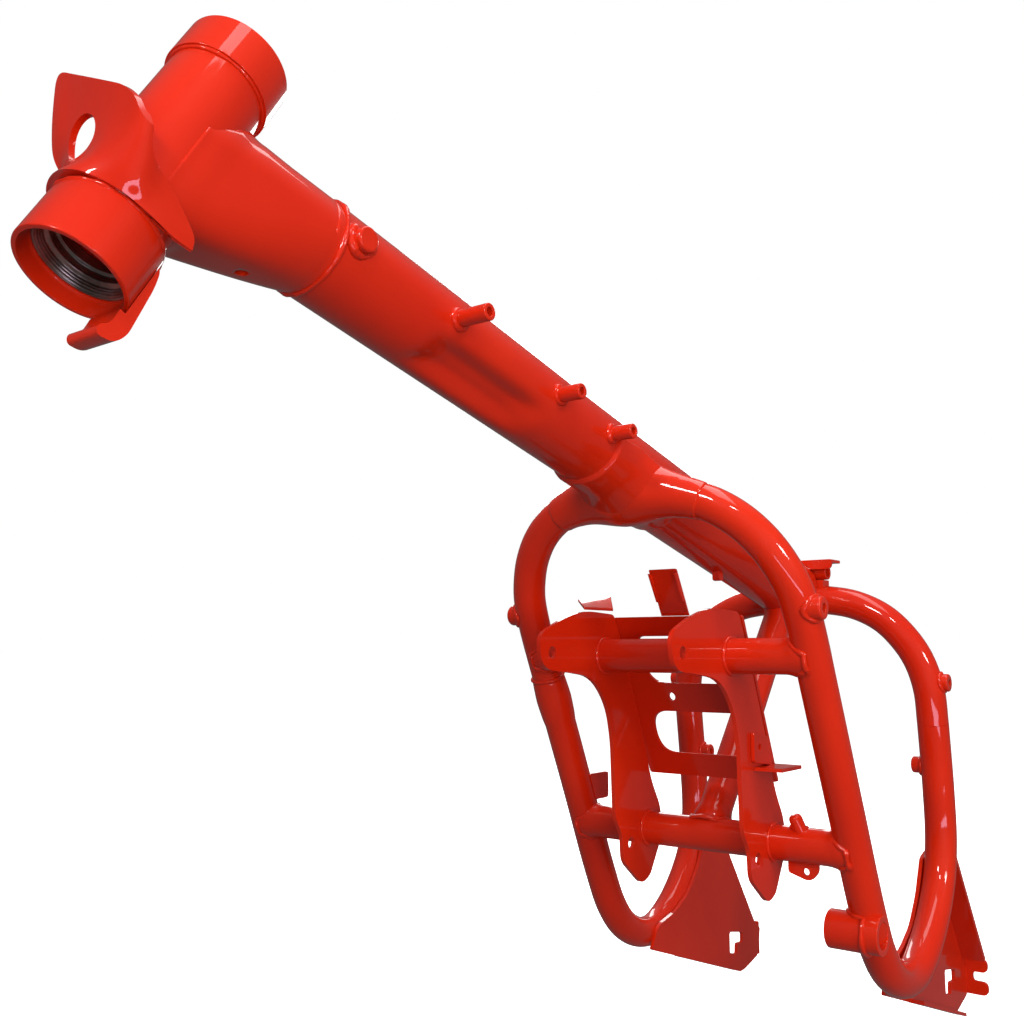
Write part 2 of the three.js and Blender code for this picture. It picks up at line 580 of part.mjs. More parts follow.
// Free edge of the neck bracket: the parts of the sheet inside these outlines are trimmed away
const EAR_TRIM = [[-17, 187, 3], [-21, 196, 5], [-26.8, 207, 5], [-25.3, 245.6, 8], [25.5, 222.6, 5], [32, 216.5, 3],
  [37, 204, 3], [41, 186, 0], [70, 186, 0], [70, 280, 0], [-70, 280, 0], [-70, 187, 0]];
const WING_TRIM = [[443, 240, 0], [438, 212, 4], [436, 194, 6], [426, 189, 6], [417, 178, 6], [410.5, 169.5, 5],
  [412, 162, 4], [412, 140, 0], [390, 140, 0], [390, 240, 0]];

function smoothPoints(points, divisions) {
  return new THREE.CatmullRomCurve3(points, false, 'centripetal').getPoints(divisions);
}

// Sheet of even thickness on a smooth surface through a net of points
function netSheet(net, thickness, acrossSteps, upSteps) {
  const columns = net.map((row) => smoothPoints(row.map((p) => new THREE.Vector3(...p)), upSteps));
  const grid = [];
  for (let j = 0; j <= upSteps; j++) grid.push(smoothPoints(columns.map((column) => column[j]), acrossSteps));
  const position = [];
  for (const side of [0.5, -0.5]) {
    for (let j = 0; j <= upSteps; j++) {
      for (let i = 0; i <= acrossSteps; i++) {
        const along = grid[j][Math.min(i + 1, acrossSteps)].clone().sub(grid[j][Math.max(i - 1, 0)]);
        const up = grid[Math.min(j + 1, upSteps)][i].clone().sub(grid[Math.max(j - 1, 0)][i]);
        const normal = along.cross(up).normalize();
        position.push(...grid[j][i].clone().addScaledVector(normal, side * thickness).toArray());
      }
    }
  }
  const row = acrossSteps + 1;
  const layer = row * (upSteps + 1);
  const index = [];
  const quad = (a, b, c, d) => index.push(a, b, c, a, c, d);
  for (let j = 0; j < upSteps; j++) {
    for (let i = 0; i < acrossSteps; i++) {
      const a = j * row + i;
      quad(a, a + 1, a + row + 1, a + row);
      quad(layer + a, layer + a + row, layer + a + row + 1, layer + a + 1);
    }
    const [low, high] = [j * row, j * row + acrossSteps];
    quad(low, low + row, layer + low + row, layer + low);
    quad(high, layer + high, layer + high + row, high + row);
  }
  for (let i = 0; i < acrossSteps; i++) {
    const top = upSteps * row + i;
    quad(i, layer + i, layer + i + 1, i + 1);
    quad(top, top + 1, layer + top + 1, layer + top);
  }
  return indexedSolid(position, index);
}

function buildNeckBracket() {
  const sheetBody = netSheet(BRACKET_NET, 2.6, 30, 7);
  const earHole = bar([436, -2, 206], [456, -2, 211], 10.2, 18);
  const earTrim = leaningPlate(outline(EAR_TRIM), 475, 0, 38.5);
  const wingTrim = sidePlate(outline(WING_TRIM), 15, 60);
  const body = cut(sheetBody, earHole, earTrim, wingTrim, headSpace, cupSpace, neckSolid(-GAP, -0.02, 1));
  addNode('neck_bracket', largest(body));
  const stopProfile = outline([[422, 168, 1], [416, 158, 3], [418.5, 150, 4], [424, 139, 4], [430, 127, 4],
    [436, 123, 4], [443, 125, 2], [443, 129, 2], [437, 131, 3], [432, 140, 3], [430, 152, 2], [430, 168, 1]]);
  const stop = cut(sidePlate(stopProfile, -9, 13), bar(headAt(-3), headAt(60), CUP_R + GAP));
  const stopKept = cut(stop, nodes.neck_gusset_left, nodes.neck_gusset_right, nodes.neck_bracket);
  addNode('steering_stop', largest(stopKept));
}

buildHead();
buildNeck();
buildSpine();
buildSaddle();
buildCage();
buildBracket();
buildFittings();
buildRearPlates();
buildSeatBracket();
buildNeckBracket();

// Stand the frame on its lowest point with the middle of its box over the origin
frame.updateMatrixWorld(true);
const bounds = new THREE.Box3().setFromObject(frame);
const middle = bounds.getCenter(new THREE.Vector3());
frame.position.set(-middle.x, -middle.y, -bounds.min.z);

export default frame;
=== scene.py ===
"""Looks of a bare moped backbone frame: glossy red powder coat over welded tube and pressed sheet.

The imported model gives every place. Tubes, cups and the neck box are drawn again with smooth round sections,
sheet parts keep their solids with softened edges, and every joint gets a weld bead.
Lengths in this file are millimetres from the cage point (mid plane, upper cross tube level, X = 0).
"""
import math

import bmesh
import bpy
import numpy as np
from mathutils import Matrix, Vector, noise

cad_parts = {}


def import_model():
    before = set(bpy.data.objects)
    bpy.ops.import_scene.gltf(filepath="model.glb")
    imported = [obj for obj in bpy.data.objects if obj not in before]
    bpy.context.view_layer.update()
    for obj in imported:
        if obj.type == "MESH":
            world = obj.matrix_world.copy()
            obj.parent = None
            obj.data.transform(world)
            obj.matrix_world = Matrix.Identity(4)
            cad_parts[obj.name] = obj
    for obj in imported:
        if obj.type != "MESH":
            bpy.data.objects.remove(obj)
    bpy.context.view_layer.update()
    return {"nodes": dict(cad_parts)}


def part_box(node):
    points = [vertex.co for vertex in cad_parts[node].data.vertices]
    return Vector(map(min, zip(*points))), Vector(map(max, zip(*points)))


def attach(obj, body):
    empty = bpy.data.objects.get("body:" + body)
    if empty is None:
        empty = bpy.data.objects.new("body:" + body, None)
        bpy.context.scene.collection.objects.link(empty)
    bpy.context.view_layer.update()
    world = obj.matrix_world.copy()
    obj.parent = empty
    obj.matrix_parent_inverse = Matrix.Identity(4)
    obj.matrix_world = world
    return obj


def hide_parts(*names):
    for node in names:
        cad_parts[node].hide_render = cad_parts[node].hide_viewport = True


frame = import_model()

MM = 0.001

# The frame's driving sizes, the same as in the solids
HOOP_R = 12.0
CROSS_R = 12.0
SPINE_R = 25.4
HEAD_R = 23.0
CUP_R = 25.0
HEAD_FOOT = (448.0, 150.0)
HEAD_LENGTH = 143.0
HEAD_RAKE = math.radians(32)
LOWER_CUP = 28.0
UPPER_CUP = 22.0
SPINE_SLOPE = 0.262
SPINE_Z = 112.6
NECK_X = 405.0
NECK_REAR_X = 326.0
SPINE_REAR_X = -218.0
HOOP_X = -7.0
HOOP_LEAN = 0.45
LEG_Y = 108.0
JOINT_Z = -16.0
HOOP_TOP_Z = 107.6
ARCH_X = -232.0
ARCH_LEAN = 0.1
REAR_LEG_Y = 110.0
ARCH_TOP_Z = 47.0
ARCH_JOINT_Z = -55.0
UPPER_CROSS = (-5.0, 0.0)
LOWER_CROSS = (-63.0, -129.0)
CHEEK_Y = 50.5

# Studs, bosses and sleeves: each place is (x, z), and a spine stud is (name, x, y of its tip)
PIVOT = (-79.0, -185.0)
PIVOT_Y = (84.0, 120.5)
PIVOT_R = 13.0
NECK_STUD = (316.0, 198.0)
NECK_STUD_R = 6.5
HOOP_BOSS = (9.5, 30.0)
HOOP_BOSS_R = 7.5
ARCH_BOSS = (-236.0, -22.0)
ARCH_BOSS_R = 7.0
LEG_BOSS = (-242.8, -88.0)
LEG_BOSS_R = 6.5
SPINE_STUDS = [("front", 244.0, 46.0), ("middle", 153.0, 41.0), ("rear", 97.0, 41.0)]
SPINE_STUD_R = 4.7
HINGE_Z = 70.0
HINGE_HALF = 31.0
EAR_HOLE_R = 10.2

cross_low, cross_high = (np.array(corner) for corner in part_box("upper_cross_tube"))
CAGE = (cross_low + cross_high) / 2 - np.array([UPPER_CROSS[0], 0.0, UPPER_CROSS[1]]) * MM
CAGE[1] = 0.0


def world(points):
    """Cage millimetres to metres in the frame's own axes."""
    return np.asarray(points, dtype=float) * MM + CAGE


# Materials

def new_material(name):
    material = bpy.data.materials.new(name)
    material.use_nodes = True
    return material, material.node_tree, material.node_tree.nodes["Principled BSDF"]


def add_noise(tree, scale, detail, source):
    texture = tree.nodes.new("ShaderNodeTexNoise")
    texture.inputs["Scale"].default_value = scale
    texture.inputs["Detail"].default_value = detail
    tree.links.new(source, texture.inputs["Vector"])
    return texture.outputs["Fac"]


def add_bump(tree, shader, height, strength, distance):
    bump = tree.nodes.new("ShaderNodeBump")
    bump.inputs["Strength"].default_value = strength
    bump.inputs["Distance"].default_value = distance
    tree.links.new(height, bump.inputs["Height"])
    tree.links.new(bump.outputs["Normal"], shader.inputs["Normal"])
    return bump


def add_ramp(tree, source, low, high, dark, light):
    ramp = tree.nodes.new("ShaderNodeValToRGB")
    ramp.color_ramp.elements[0].position = low
    ramp.color_ramp.elements[0].color = (*dark, 1.0)
    ramp.color_ramp.elements[1].position = high
    ramp.color_ramp.elements[1].color = (*light, 1.0)
    tree.links.new(source, ramp.inputs["Fac"])
    return ramp.outputs["Color"]


def red_powder_coat(name, ripple):
    """Glossy red powder coat with a faint orange peel; ripple is how wavy the surface is."""
    material, tree, shader = new_material(name)
    place = tree.nodes.new("ShaderNodeTexCoord").outputs["Object"]
    cloud = add_noise(tree, 9.0, 3.0, place)
    colour = add_ramp(tree, cloud, 0.35, 0.65, (0.57, 0.014, 0.0015), (0.64, 0.020, 0.0025))
    tree.links.new(colour, shader.inputs["Base Color"])
    shader.inputs["Roughness"].default_value = 0.45
    shader.inputs["Specular IOR Level"].default_value = 0.1
    shader.inputs["Coat Weight"].default_value = 0.9
    shader.inputs["Coat Roughness"].default_value = 0.045
    shader.inputs["Coat IOR"].default_value = 1.5
    peel = add_noise(tree, 260.0, 2.0, place)
    add_bump(tree, shader, peel, ripple, 0.0006)
    return material


def machined_steel(name):
    """Bare turned steel with fine tool rings round the steering axis."""
    material, tree, shader = new_material(name)
    place = tree.nodes.new("ShaderNodeTexCoord").outputs["Object"]
    turn = tree.nodes.new("ShaderNodeMapping")
    turn.vector_type = "POINT"
    turn.inputs["Rotation"].default_value = (0.0, HEAD_RAKE, 0.0)
    tree.links.new(place, turn.inputs["Vector"])
    wave = tree.nodes.new("ShaderNodeTexWave")
    wave.bands_direction = "Z"
    wave.inputs["Scale"].default_value = 260.0
    wave.inputs["Distortion"].default_value = 0.4
    tree.links.new(turn.outputs["Vector"], wave.inputs["Vector"])
    stain = add_noise(tree, 90.0, 3.0, place)
    colour = add_ramp(tree, stain, 0.3, 0.7, (0.20, 0.185, 0.165), (0.46, 0.44, 0.41))
    tree.links.new(colour, shader.inputs["Base Color"])
    shader.inputs["Metallic"].default_value = 1.0
    shader.inputs["Roughness"].default_value = 0.34
    add_bump(tree, shader, wave.outputs["Fac"], 0.35, 0.0003)
    return material


PAINT = red_powder_coat("red_powder_coat", 0.05)
SHEET_PAINT = red_powder_coat("red_powder_coat_sheet", 0.08)
BEAD_PAINT = red_powder_coat("red_powder_coat_weld", 0.25)
STEEL = machined_steel("machined_steel")


# Shapes

def closed_mesh(name, points, faces):
    """A mesh in metres from cage millimetres, with its faces turned outwards."""
    mesh = bpy.data.meshes.new(name)
    mesh.from_pydata([tuple(p) for p in world(points)], [], [tuple(int(i) for i in f) for f in faces])
    mesh.validate()
    body = bmesh.new()
    body.from_mesh(mesh)
    bmesh.ops.recalc_face_normals(body, faces=body.faces)
    body.to_mesh(mesh)
    body.free()
    return mesh


def add_piece(name, points, faces, material, replaced=()):
    """A smooth mesh piece that rides on the frame; points are cage millimetres."""
    mesh = closed_mesh(name, points, faces)
    mesh.materials.append(material)
    mesh.polygons.foreach_set("use_smooth", [True] * len(mesh.polygons))
    piece = bpy.data.objects.new(name, mesh)
    bpy.context.scene.collection.objects.link(piece)
    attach(piece, "root")
    if replaced:
        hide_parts(*replaced)
    return piece


def smooth_path(points, spacing=3.0):
    """Centripetal Catmull-Rom curve through the points, as evenly spaced points."""
    p = np.asarray(points, dtype=float)
    p = np.vstack([2 * p[0] - p[1], p, 2 * p[-1] - p[-2]])
    fine = []
    for i in range(1, len(p) - 2):
        knots = [0.0]
        for a, b in zip(p[i - 1:i + 2], p[i:i + 3]):
            knots.append(knots[-1] + max(np.linalg.norm(b - a), 1e-6) ** 0.5)
        t0, t1, t2, t3 = knots
        for t in np.linspace(t1, t2, 24, endpoint=False):
            a1 = (t1 - t) / (t1 - t0) * p[i - 1] + (t - t0) / (t1 - t0) * p[i]
            a2 = (t2 - t) / (t2 - t1) * p[i] + (t - t1) / (t2 - t1) * p[i + 1]
            a3 = (t3 - t) / (t3 - t2) * p[i + 1] + (t - t2) / (t3 - t2) * p[i + 2]
            b1 = (t2 - t) / (t2 - t0) * a1 + (t - t0) / (t2 - t0) * a2
            b2 = (t3 - t) / (t3 - t1) * a2 + (t - t1) / (t3 - t1) * a3
            fine.append((t2 - t) / (t2 - t1) * b1 + (t - t1) / (t2 - t1) * b2)
    fine.append(p[-2])
    return even(np.array(fine), spacing)


def even(points, spacing, closed=False):
    """Points at even steps along a polyline."""
    p = np.asarray(points, dtype=float)
    if closed:
        p = np.vstack([p, p[:1]])
    along = np.concatenate([[0.0], np.cumsum(np.linalg.norm(np.diff(p, axis=0), axis=1))])
    count = max(3, int(round(along[-1] / spacing)))
    marks = np.linspace(0.0, along[-1], count + 1)
    out = np.column_stack([np.interp(marks, along, p[:, k]) for k in range(3)])
    return out[:-1] if closed else out


def carried_frames(path, closed=False):
    """Two unit vectors across the path at each point, carried along it without twist."""
    if closed:
        tangent = np.roll(path, -1, axis=0) - np.roll(path, 1, axis=0)
    else:
        tangent = np.gradient(path, axis=0)
    tangent /= np.linalg.norm(tangent, axis=1)[:, None]
    side = np.cross(tangent[0], [0.0, 0.0, 1.0])
    if np.linalg.norm(side) < 0.1:
        side = np.cross(tangent[0], [1.0, 0.0, 0.0])
    sides = []
    for t in tangent:
        side = side - t * np.dot(side, t)
        side = side / np.linalg.norm(side)
        sides.append(side)
    sides = np.array(sides)
    return sides, np.cross(tangent, sides)


def skin(rings, closed=False, capped=True):
    """Faces between rings of equal size, with flat ends unless the row of rings closes on itself."""
    count, n = rings.shape[:2]
    faces = []
    for r in range(count if closed else count - 1):
        low, high = r * n, ((r + 1) % count) * n
        for i in range(n):
            j = (i + 1) % n
            faces.append((low + i, low + j, high + j, high + i))
    if capped and not closed:
        faces.append(tuple(range(n - 1, -1, -1)))
        faces.append(tuple((count - 1) * n + i for i in range(n)))
    return rings.reshape(-1, 3), faces


def tube_rings(path, radius, sides=48, fillets=()):
    """Rings of a round tube; each fillet (neighbour, size) swells it smoothly towards that neighbour,
    though not at the tube's own ends, which lie inside the neighbour."""
    across, up = carried_frames(path)
    turn = np.linspace(0, 2 * np.pi, sides, endpoint=False)
    ring = np.cos(turn)[None, :, None] * across[:, None] + np.sin(turn)[None, :, None] * up[:, None]
    radius = np.broadcast_to(np.reshape(radius, (-1, 1)), (len(path), sides)).copy()
    skin_points = path[:, None] + ring * radius[..., None]
    from_start = np.linalg.norm(path - path[0], axis=1)
    from_end = np.linalg.norm(path - path[-1], axis=1)
    inner = np.clip((np.minimum(from_start, from_end) - 2) / 8, 0, 1)[:, None]
    for neighbour, size in fillets:
        gap = neighbour.distance(skin_points.reshape(-1, 3)).reshape(radius.shape)
        radius += inner * size / 4 * np.clip(1 - gap / size, 0, 1) ** 2
    return path[:, None] + ring * radius[..., None]


def held(path):
    """The path with one more point close to each end, so that smooth shading stops at the flat ends."""
    first = path[0] + (path[1] - path[0]) * 0.01
    last = path[-1] + (path[-2] - path[-1]) * 0.01
    return np.vstack([path[:1], first, path[1:-1], last, path[-1:]])


def add_tube(name, path, radius, replaced, sides=48, fillets=()):
    points, faces = skin(tube_rings(held(path), radius, sides, fillets))
    return add_piece(name, points, faces, PAINT, replaced)


def add_bar(name, start, end, radius, replaced, hole=0.0, depth=0.0, edge=0.7):
    """A round bar with an eased far end and, if asked, a blind hole in it."""
    start = np.asarray(start, dtype=float)
    end = np.asarray(end, dtype=float)
    axis = (end - start) / np.linalg.norm(end - start)
    hold = axis * 0.05
    mouth = 0.4
    profile = [(start, radius), (start + hold, radius)]
    for turn in np.linspace(0, np.pi / 2, 5):
        profile.append((end - axis * edge * (1 - np.sin(turn)), radius - edge * (1 - np.cos(turn))))
    if hole:
        for turn in np.linspace(0, np.pi / 2, 4):
            profile.append((end - axis * mouth * (1 - np.cos(turn)), hole + mouth * (1 - np.sin(turn))))
        profile += [(end - axis * depth + hold, hole), (end - axis * depth, hole)]
    else:
        profile += [(end, (radius - edge) * 0.97), (end, 0.4)]
    unit = circle([0.0, 0.0, 0.0], axis, 1.0, 48)
    rings = np.array([centre + unit * r for centre, r in profile])
    points, faces = skin(rings)
    return add_piece(name, points, faces, PAINT, [replaced])


def add_sleeve(name, start, end, radius, inside, replaced):
    """A plain round sleeve, open right through, with eased rims."""
    start = np.asarray(start, dtype=float)
    end = np.asarray(end, dtype=float)
    axis = (end - start) / np.linalg.norm(end - start)
    unit = circle([0.0, 0.0, 0.0], axis, 1.0, 64)
    rims = [(start, radius), (end, radius), (end, inside), (start, inside)]
    points, faces = skin(np.array([centre + unit * r for centre, r in rims]), closed=True)
    piece = add_piece(name, points, faces, PAINT, [replaced])
    soften(piece, 0.6, 3)
    return piece


def straight(start, end, spacing=3.0):
    return even(np.array([start, end], dtype=float), spacing)


def hoop_at(y, z):
    return [HOOP_X + HOOP_LEAN * z, y, z]


def arch_at(y, z):
    return [ARCH_X + ARCH_LEAN * z, y, z]


def spine_at(x, y=0.0):
    return [x, y, SPINE_Z + SPINE_SLOPE * x]


def head_at(up, forward=0.0, side=0.0):
    """A point up the steering axis, and off it forwards and sideways."""
    s, c = math.sin(HEAD_RAKE), math.cos(HEAD_RAKE)
    return np.array([HEAD_FOOT[0] - s * up + c * forward, side, HEAD_FOOT[1] + c * up + s * forward])


HOOP_HALF = [(108, JOINT_Z), (108, 6), (107.5, 24), (105.5, 42), (100.5, 56.5), (92.5, 71),
             (80.5, 84.8), (66, 95.3), (50, 102.2), (28, 106.5)]
ARCH_HALF = [(110, ARCH_JOINT_Z), (109, -28), (103.5, -6), (93.5, 12), (77, 29.5), (55, 41), (30, 46)]
LOOP = [(-54, -104), (-84, -171), (-100, -200), (-118, -218.5), (-142, -229.5), (-166, -230.5),
        (-192, -219.5), (-218, -198), (-236, -173), (-244, -145), (-243, -105)]


def arch_points(half, place, top_z):
    left = [place(-y, z) for y, z in half]
    right = [place(y, z) for y, z in reversed(half)]
    return left + [place(0.0, top_z)] + right


def loop_points(side):
    points = [hoop_at(side * LEG_Y, JOINT_Z)]
    for i, (x, z) in enumerate(LOOP):
        y = LEG_Y + (REAR_LEG_Y - LEG_Y) * i / (len(LOOP) - 1)
        points.append([x, side * y, z])
    points.append(arch_at(side * REAR_LEG_Y, ARCH_JOINT_Z))
    return points


hoop_path = smooth_path(arch_points(HOOP_HALF, hoop_at, HOOP_TOP_Z))
arch_path = smooth_path(arch_points(ARCH_HALF, arch_at, ARCH_TOP_Z))
loop_paths = {side: smooth_path(loop_points(side)) for side in (1, -1)}
spine_path = straight(spine_at(NECK_REAR_X + 20), spine_at(SPINE_REAR_X - 4))
upper_cross_path = straight([UPPER_CROSS[0], -LEG_Y, UPPER_CROSS[1]], [UPPER_CROSS[0], LEG_Y, UPPER_CROSS[1]])
lower_cross_path = straight([LOWER_CROSS[0], -LEG_Y, LOWER_CROSS[1]], [LOWER_CROSS[0], LEG_Y, LOWER_CROSS[1]])
strut_path = straight([-206, 0, 43.4], [-66, 0, -124.8])


class Pipe:
    """A round body along a path, with a signed distance from its skin."""

    def __init__(self, path, radius):
        self.start = path[:-1]
        self.step = path[1:] - path[:-1]
        self.length2 = (self.step ** 2).sum(axis=1)
        self.radius = radius

    def distance(self, p):
        rel = p[:, None] - self.start[None]
        t = np.clip((rel * self.step[None]).sum(-1) / self.length2[None], 0, 1)
        gap = np.linalg.norm(rel - t[..., None] * self.step[None], axis=-1)
        return gap.min(axis=1) - self.radius


pipes = {
    "hoop": Pipe(hoop_path, HOOP_R),
    "arch": Pipe(arch_path, HOOP_R),
    "loop_left": Pipe(loop_paths[1], HOOP_R),
    "loop_right": Pipe(loop_paths[-1], HOOP_R),
    "spine": Pipe(spine_path, SPINE_R),
    "upper_cross": Pipe(upper_cross_path, CROSS_R),
    "lower_cross": Pipe(lower_cross_path, CROSS_R),
    "head": Pipe(straight(head_at(0), head_at(HEAD_LENGTH)), HEAD_R),
    "cup": Pipe(straight(head_at(0), head_at(LOWER_CUP)), CUP_R),
}


strut = Pipe(strut_path, CROSS_R)


def build_cage():
    add_tube("front_hoop_skin", hoop_path, HOOP_R, ["front_hoop"])
    add_tube("rear_arch_skin", arch_path, HOOP_R, ["rear_arch"])
    add_tube("side_loop_left_skin", loop_paths[1], HOOP_R, ["side_loop_left"])
    path = held(loop_paths[-1])
    swage = np.clip(1 - np.abs(path[:, 2] + 33) / 17, 0, 1) * (path[:, 0] > -150)
    points, faces = skin(tube_rings(path, HOOP_R + 1.6 * np.sqrt(swage)))
    add_piece("side_loop_right_skin", points, faces, PAINT, ["side_loop_right"])
    add_tube("upper_cross_tube_skin", even(upper_cross_path, 1.5), CROSS_R, ["upper_cross_tube"],
             fillets=[(pipes["hoop"], 7)])
    add_tube("lower_cross_tube_skin", even(lower_cross_path, 1.5), CROSS_R, ["lower_cross_tube"],
             fillets=[(pipes["loop_left"], 7), (pipes["loop_right"], 7), (strut, 6)])
    add_tube("centre_strut_skin", even(strut_path, 1.5), CROSS_R, ["centre_strut"],
             fillets=[(pipes["spine"], 8), (pipes["lower_cross"], 14)])


def build_spine():
    """The spine tube, with the long pressed hollow on its lower left side."""
    path = straight(spine_at(NECK_REAR_X + 6), spine_at(SPINE_REAR_X), 2.0)
    rings = tube_rings(path, SPINE_R, 96)
    centre = np.array(spine_at(214, 15))
    centre[2] -= 23
    offset = rings - centre
    along = (offset[..., 0] + 0.4 * offset[..., 1]) / 42.0
    lean = offset[..., 2] - SPINE_SLOPE * offset[..., 0]
    across = np.hypot(offset[..., 1], lean) / 13.0
    depth = 8.0 * np.exp(-(along ** 6)) * np.exp(-(across ** 4))
    inward = path[:, None] - rings
    inward /= np.linalg.norm(inward, axis=-1)[..., None]
    rings = rings + inward * depth[..., None]
    points, faces = skin(rings)
    add_piece("spine_tube_skin", points, faces, PAINT, ["spine_tube"])


def turned(name, profile, material, replaced, steps=96):
    """A ring turned on the steering axis from a closed profile of (radius, distance up)."""
    turn = np.linspace(0, 2 * np.pi, steps, endpoint=False)
    rings = []
    for a in turn:
        rings.append([head_at(up, r * math.cos(a), r * math.sin(a)) for r, up in profile])
    points, faces = skin(np.array(rings), closed=True)
    piece = add_piece(name, points, faces, material, replaced)
    soften(piece, 0.4, 2)
    return piece


def cut_away(piece, points, faces):
    """Subtracts a closed body, in cage millimetres, from a piece."""
    cutter = bpy.data.objects.new("cutter", closed_mesh("cutter", points, faces))
    bpy.context.scene.collection.objects.link(cutter)
    cut = piece.modifiers.new("cut", "BOOLEAN")
    cut.object = cutter
    cut.operation = "DIFFERENCE"
    cut.solver = "EXACT"
    cut.use_self = True
    graph = bpy.context.evaluated_depsgraph_get()
    result = bpy.data.meshes.new_from_object(piece.evaluated_get(graph))
    piece.modifiers.clear()
    piece.data = result
    bpy.data.objects.remove(cutter)


def bore(piece, start, end, radius, sides=40):
    """Cuts a round hole through a piece."""
    cut_away(piece, *skin(tube_rings(straight(start, end, 10), radius, sides)))


def soften(piece, width_mm, segments=2, angle=28):
    bevel = piece.modifiers.new("edge_radius", "BEVEL")
    bevel.width = width_mm * MM
    bevel.segments = segments
    bevel.limit_method = "ANGLE"
    bevel.angle_limit = math.radians(angle)
    flat = piece.modifiers.new("flat_faces", "WEIGHTED_NORMAL")
    flat.weight = 100
    flat.keep_sharp = True


def from_top(profile):
    """A profile measured down from the upper end of the head, as distances up the steering axis."""
    return [(radius, HEAD_LENGTH - down) for radius, down in reversed(profile)]


def build_head():
    ends = straight(head_at(LOWER_CUP - 2), head_at(HEAD_LENGTH - UPPER_CUP + 2))
    add_tube("head_tube_skin", ends, HEAD_R, ["head_tube"], sides=96)
    lower_cup = [(22.8, 0), (CUP_R - 0.4, 0), (CUP_R, 0.4), (CUP_R, LOWER_CUP), (17.5, LOWER_CUP),
                 (17.5, 23), (21.6, 23), (21.6, 8), (22.4, 6.5)]
    upper_cup = [(22.8, 0), (CUP_R - 0.4, 0), (CUP_R, 0.4), (CUP_R, UPPER_CUP), (17.5, UPPER_CUP),
                 (17.5, 18), (21.6, 18), (21.6, 8), (22.4, 6.5)]
    lower_race = [(20.6, 8.6), (21.8, 8.6), (21.8, 22.9), (15.5, 22.9), (15.5, 18), (17.0, 17.6),
                  (17.0, 14), (18.8, 13.6), (19.4, 11)]
    upper_race = [(21.8, 8.6), (21.8, 17.8), (15.5, 17.8), (15.5, 17), (17.0, 14), (18.8, 13.6),
                  (19.4, 11), (20.6, 8.6)]
    turned("lower_cup_skin", lower_cup, PAINT, ["lower_bearing_cup"])
    turned("upper_cup_skin", from_top(upper_cup), PAINT, ["upper_bearing_cup"])
    turned("lower_race_skin", lower_race, STEEL, ["lower_bearing_race"])
    turned("upper_race_skin", from_top(upper_race), STEEL, ["upper_bearing_race"])


NECK_HALF_WIDTH = 23.4


def neck_ring(t, sides=96):
    """Section of the neck box: boxed below and along the steering axis at the head (t = 0),
    round and square to the spine at its rear end (t = 1)."""
    x = NECK_X - (NECK_X - NECK_REAR_X) * t
    ease = t * t * (3 - 2 * t)
    width = NECK_HALF_WIDTH + (SPINE_R - NECK_HALF_WIDTH) * ease
    up = 21 + (SPINE_R - 21) * min(1.0, 2.5 * t)
    down = 45 + (SPINE_R - 45) * t
    square = 5 + (2 - 5) * min(1.0, t * 1.05)
    tilt = math.atan(SPINE_SLOPE)
    lean = math.tan(HEAD_RAKE) + (SPINE_SLOPE - math.tan(HEAD_RAKE)) * min(1.0, 1.6 * t)
    ring = []
    for i in range(sides):
        a = 2 * math.pi * i / sides
        power = 2 / square if math.sin(a) < 0 else 1.0
        y = width * math.copysign(abs(math.cos(a)) ** power, math.cos(a))
        h = (down if math.sin(a) < 0 else up) * math.copysign(abs(math.sin(a)) ** power, math.sin(a))
        z = SPINE_Z + SPINE_SLOPE * x
        ring.append([x - lean * math.cos(tilt) * h, y, z + math.cos(tilt) * h])
    return ring


def swollen(rings, centres, neighbour, size):
    """Rings swollen away from their centres near a neighbour, as a weld fillet."""
    gap = neighbour.distance(rings.reshape(-1, 3)).reshape(rings.shape[:2])
    outward = rings - centres[:, None]
    outward /= np.linalg.norm(outward, axis=-1)[..., None]
    return rings + outward * (size / 4 * np.clip(1 - gap / size, 0, 1) ** 2)[..., None]


def build_neck():
    marks = np.linspace(0, 1, 72)
    rings = np.array([neck_ring(t) for t in marks])
    centres = rings.mean(axis=1)
    filleted = swollen(rings, centres, pipes["head"], 7)
    weight = np.clip((marks - 0.05) / 0.2, 0, 1)[:, None, None]
    points, faces = skin(rings + (filleted - rings) * weight)
    neck = add_piece("neck_box_skin", points, faces, PAINT, ["neck_gusset_left", "neck_gusset_right"])
    bore(neck, [366, 0, 150], [366, 0, 190], 3.2)


# Neck bracket: the same net of points as in the solids, from the cup's edge up to the free edge
BRACKET_NET = [
    [(402, 26, 161), (402, 27, 165), (401, 27, 170), (399, 27, 178)],
    [(409, 26, 164), (409, 27, 168), (408, 27, 173), (406, 27, 184)],
    [(420, 26.6, 167), (420, 27.5, 172), (419, 28, 179), (417, 28, 193)],
    [(431, 26.6, 173), (430, 28, 179), (429, 29, 187), (428, 30, 200)],
    [(441, 24, 180), (440, 28, 186), (437, 32, 193), (435, 35.5, 208)],
    [(447, 19, 184), (444, 25, 193), (441, 32, 203), (441, 37, 222)],
    [(452.5, 11, 187.5), (446.5, 15, 197), (443, 21, 210), (443, 28, 236)],
    [(455, 0, 189), (446, 1, 199), (443.5, 4, 215), (444, 6, 247)],
    [(452.5, -11, 187.5), (444.5, -12, 199), (443.5, -12, 218), (443.5, -13, 253)],
    [(447, -19, 184), (440, -22, 195), (443.5, -24, 215), (443, -28, 254)],
    [(441, -24, 180), (438, -28, 188), (440, -31, 203), (442, -35, 232)],
    [(431, -26.6, 173), (431, -29, 179), (431, -30, 188), (431, -31, 202)],
    [(420, -26.6, 167), (420, -28, 172), (419, -28, 178), (417, -28, 184)],
    [(409, -26, 164), (409, -27, 168), (408, -27, 171), (406, -27, 174)],
]

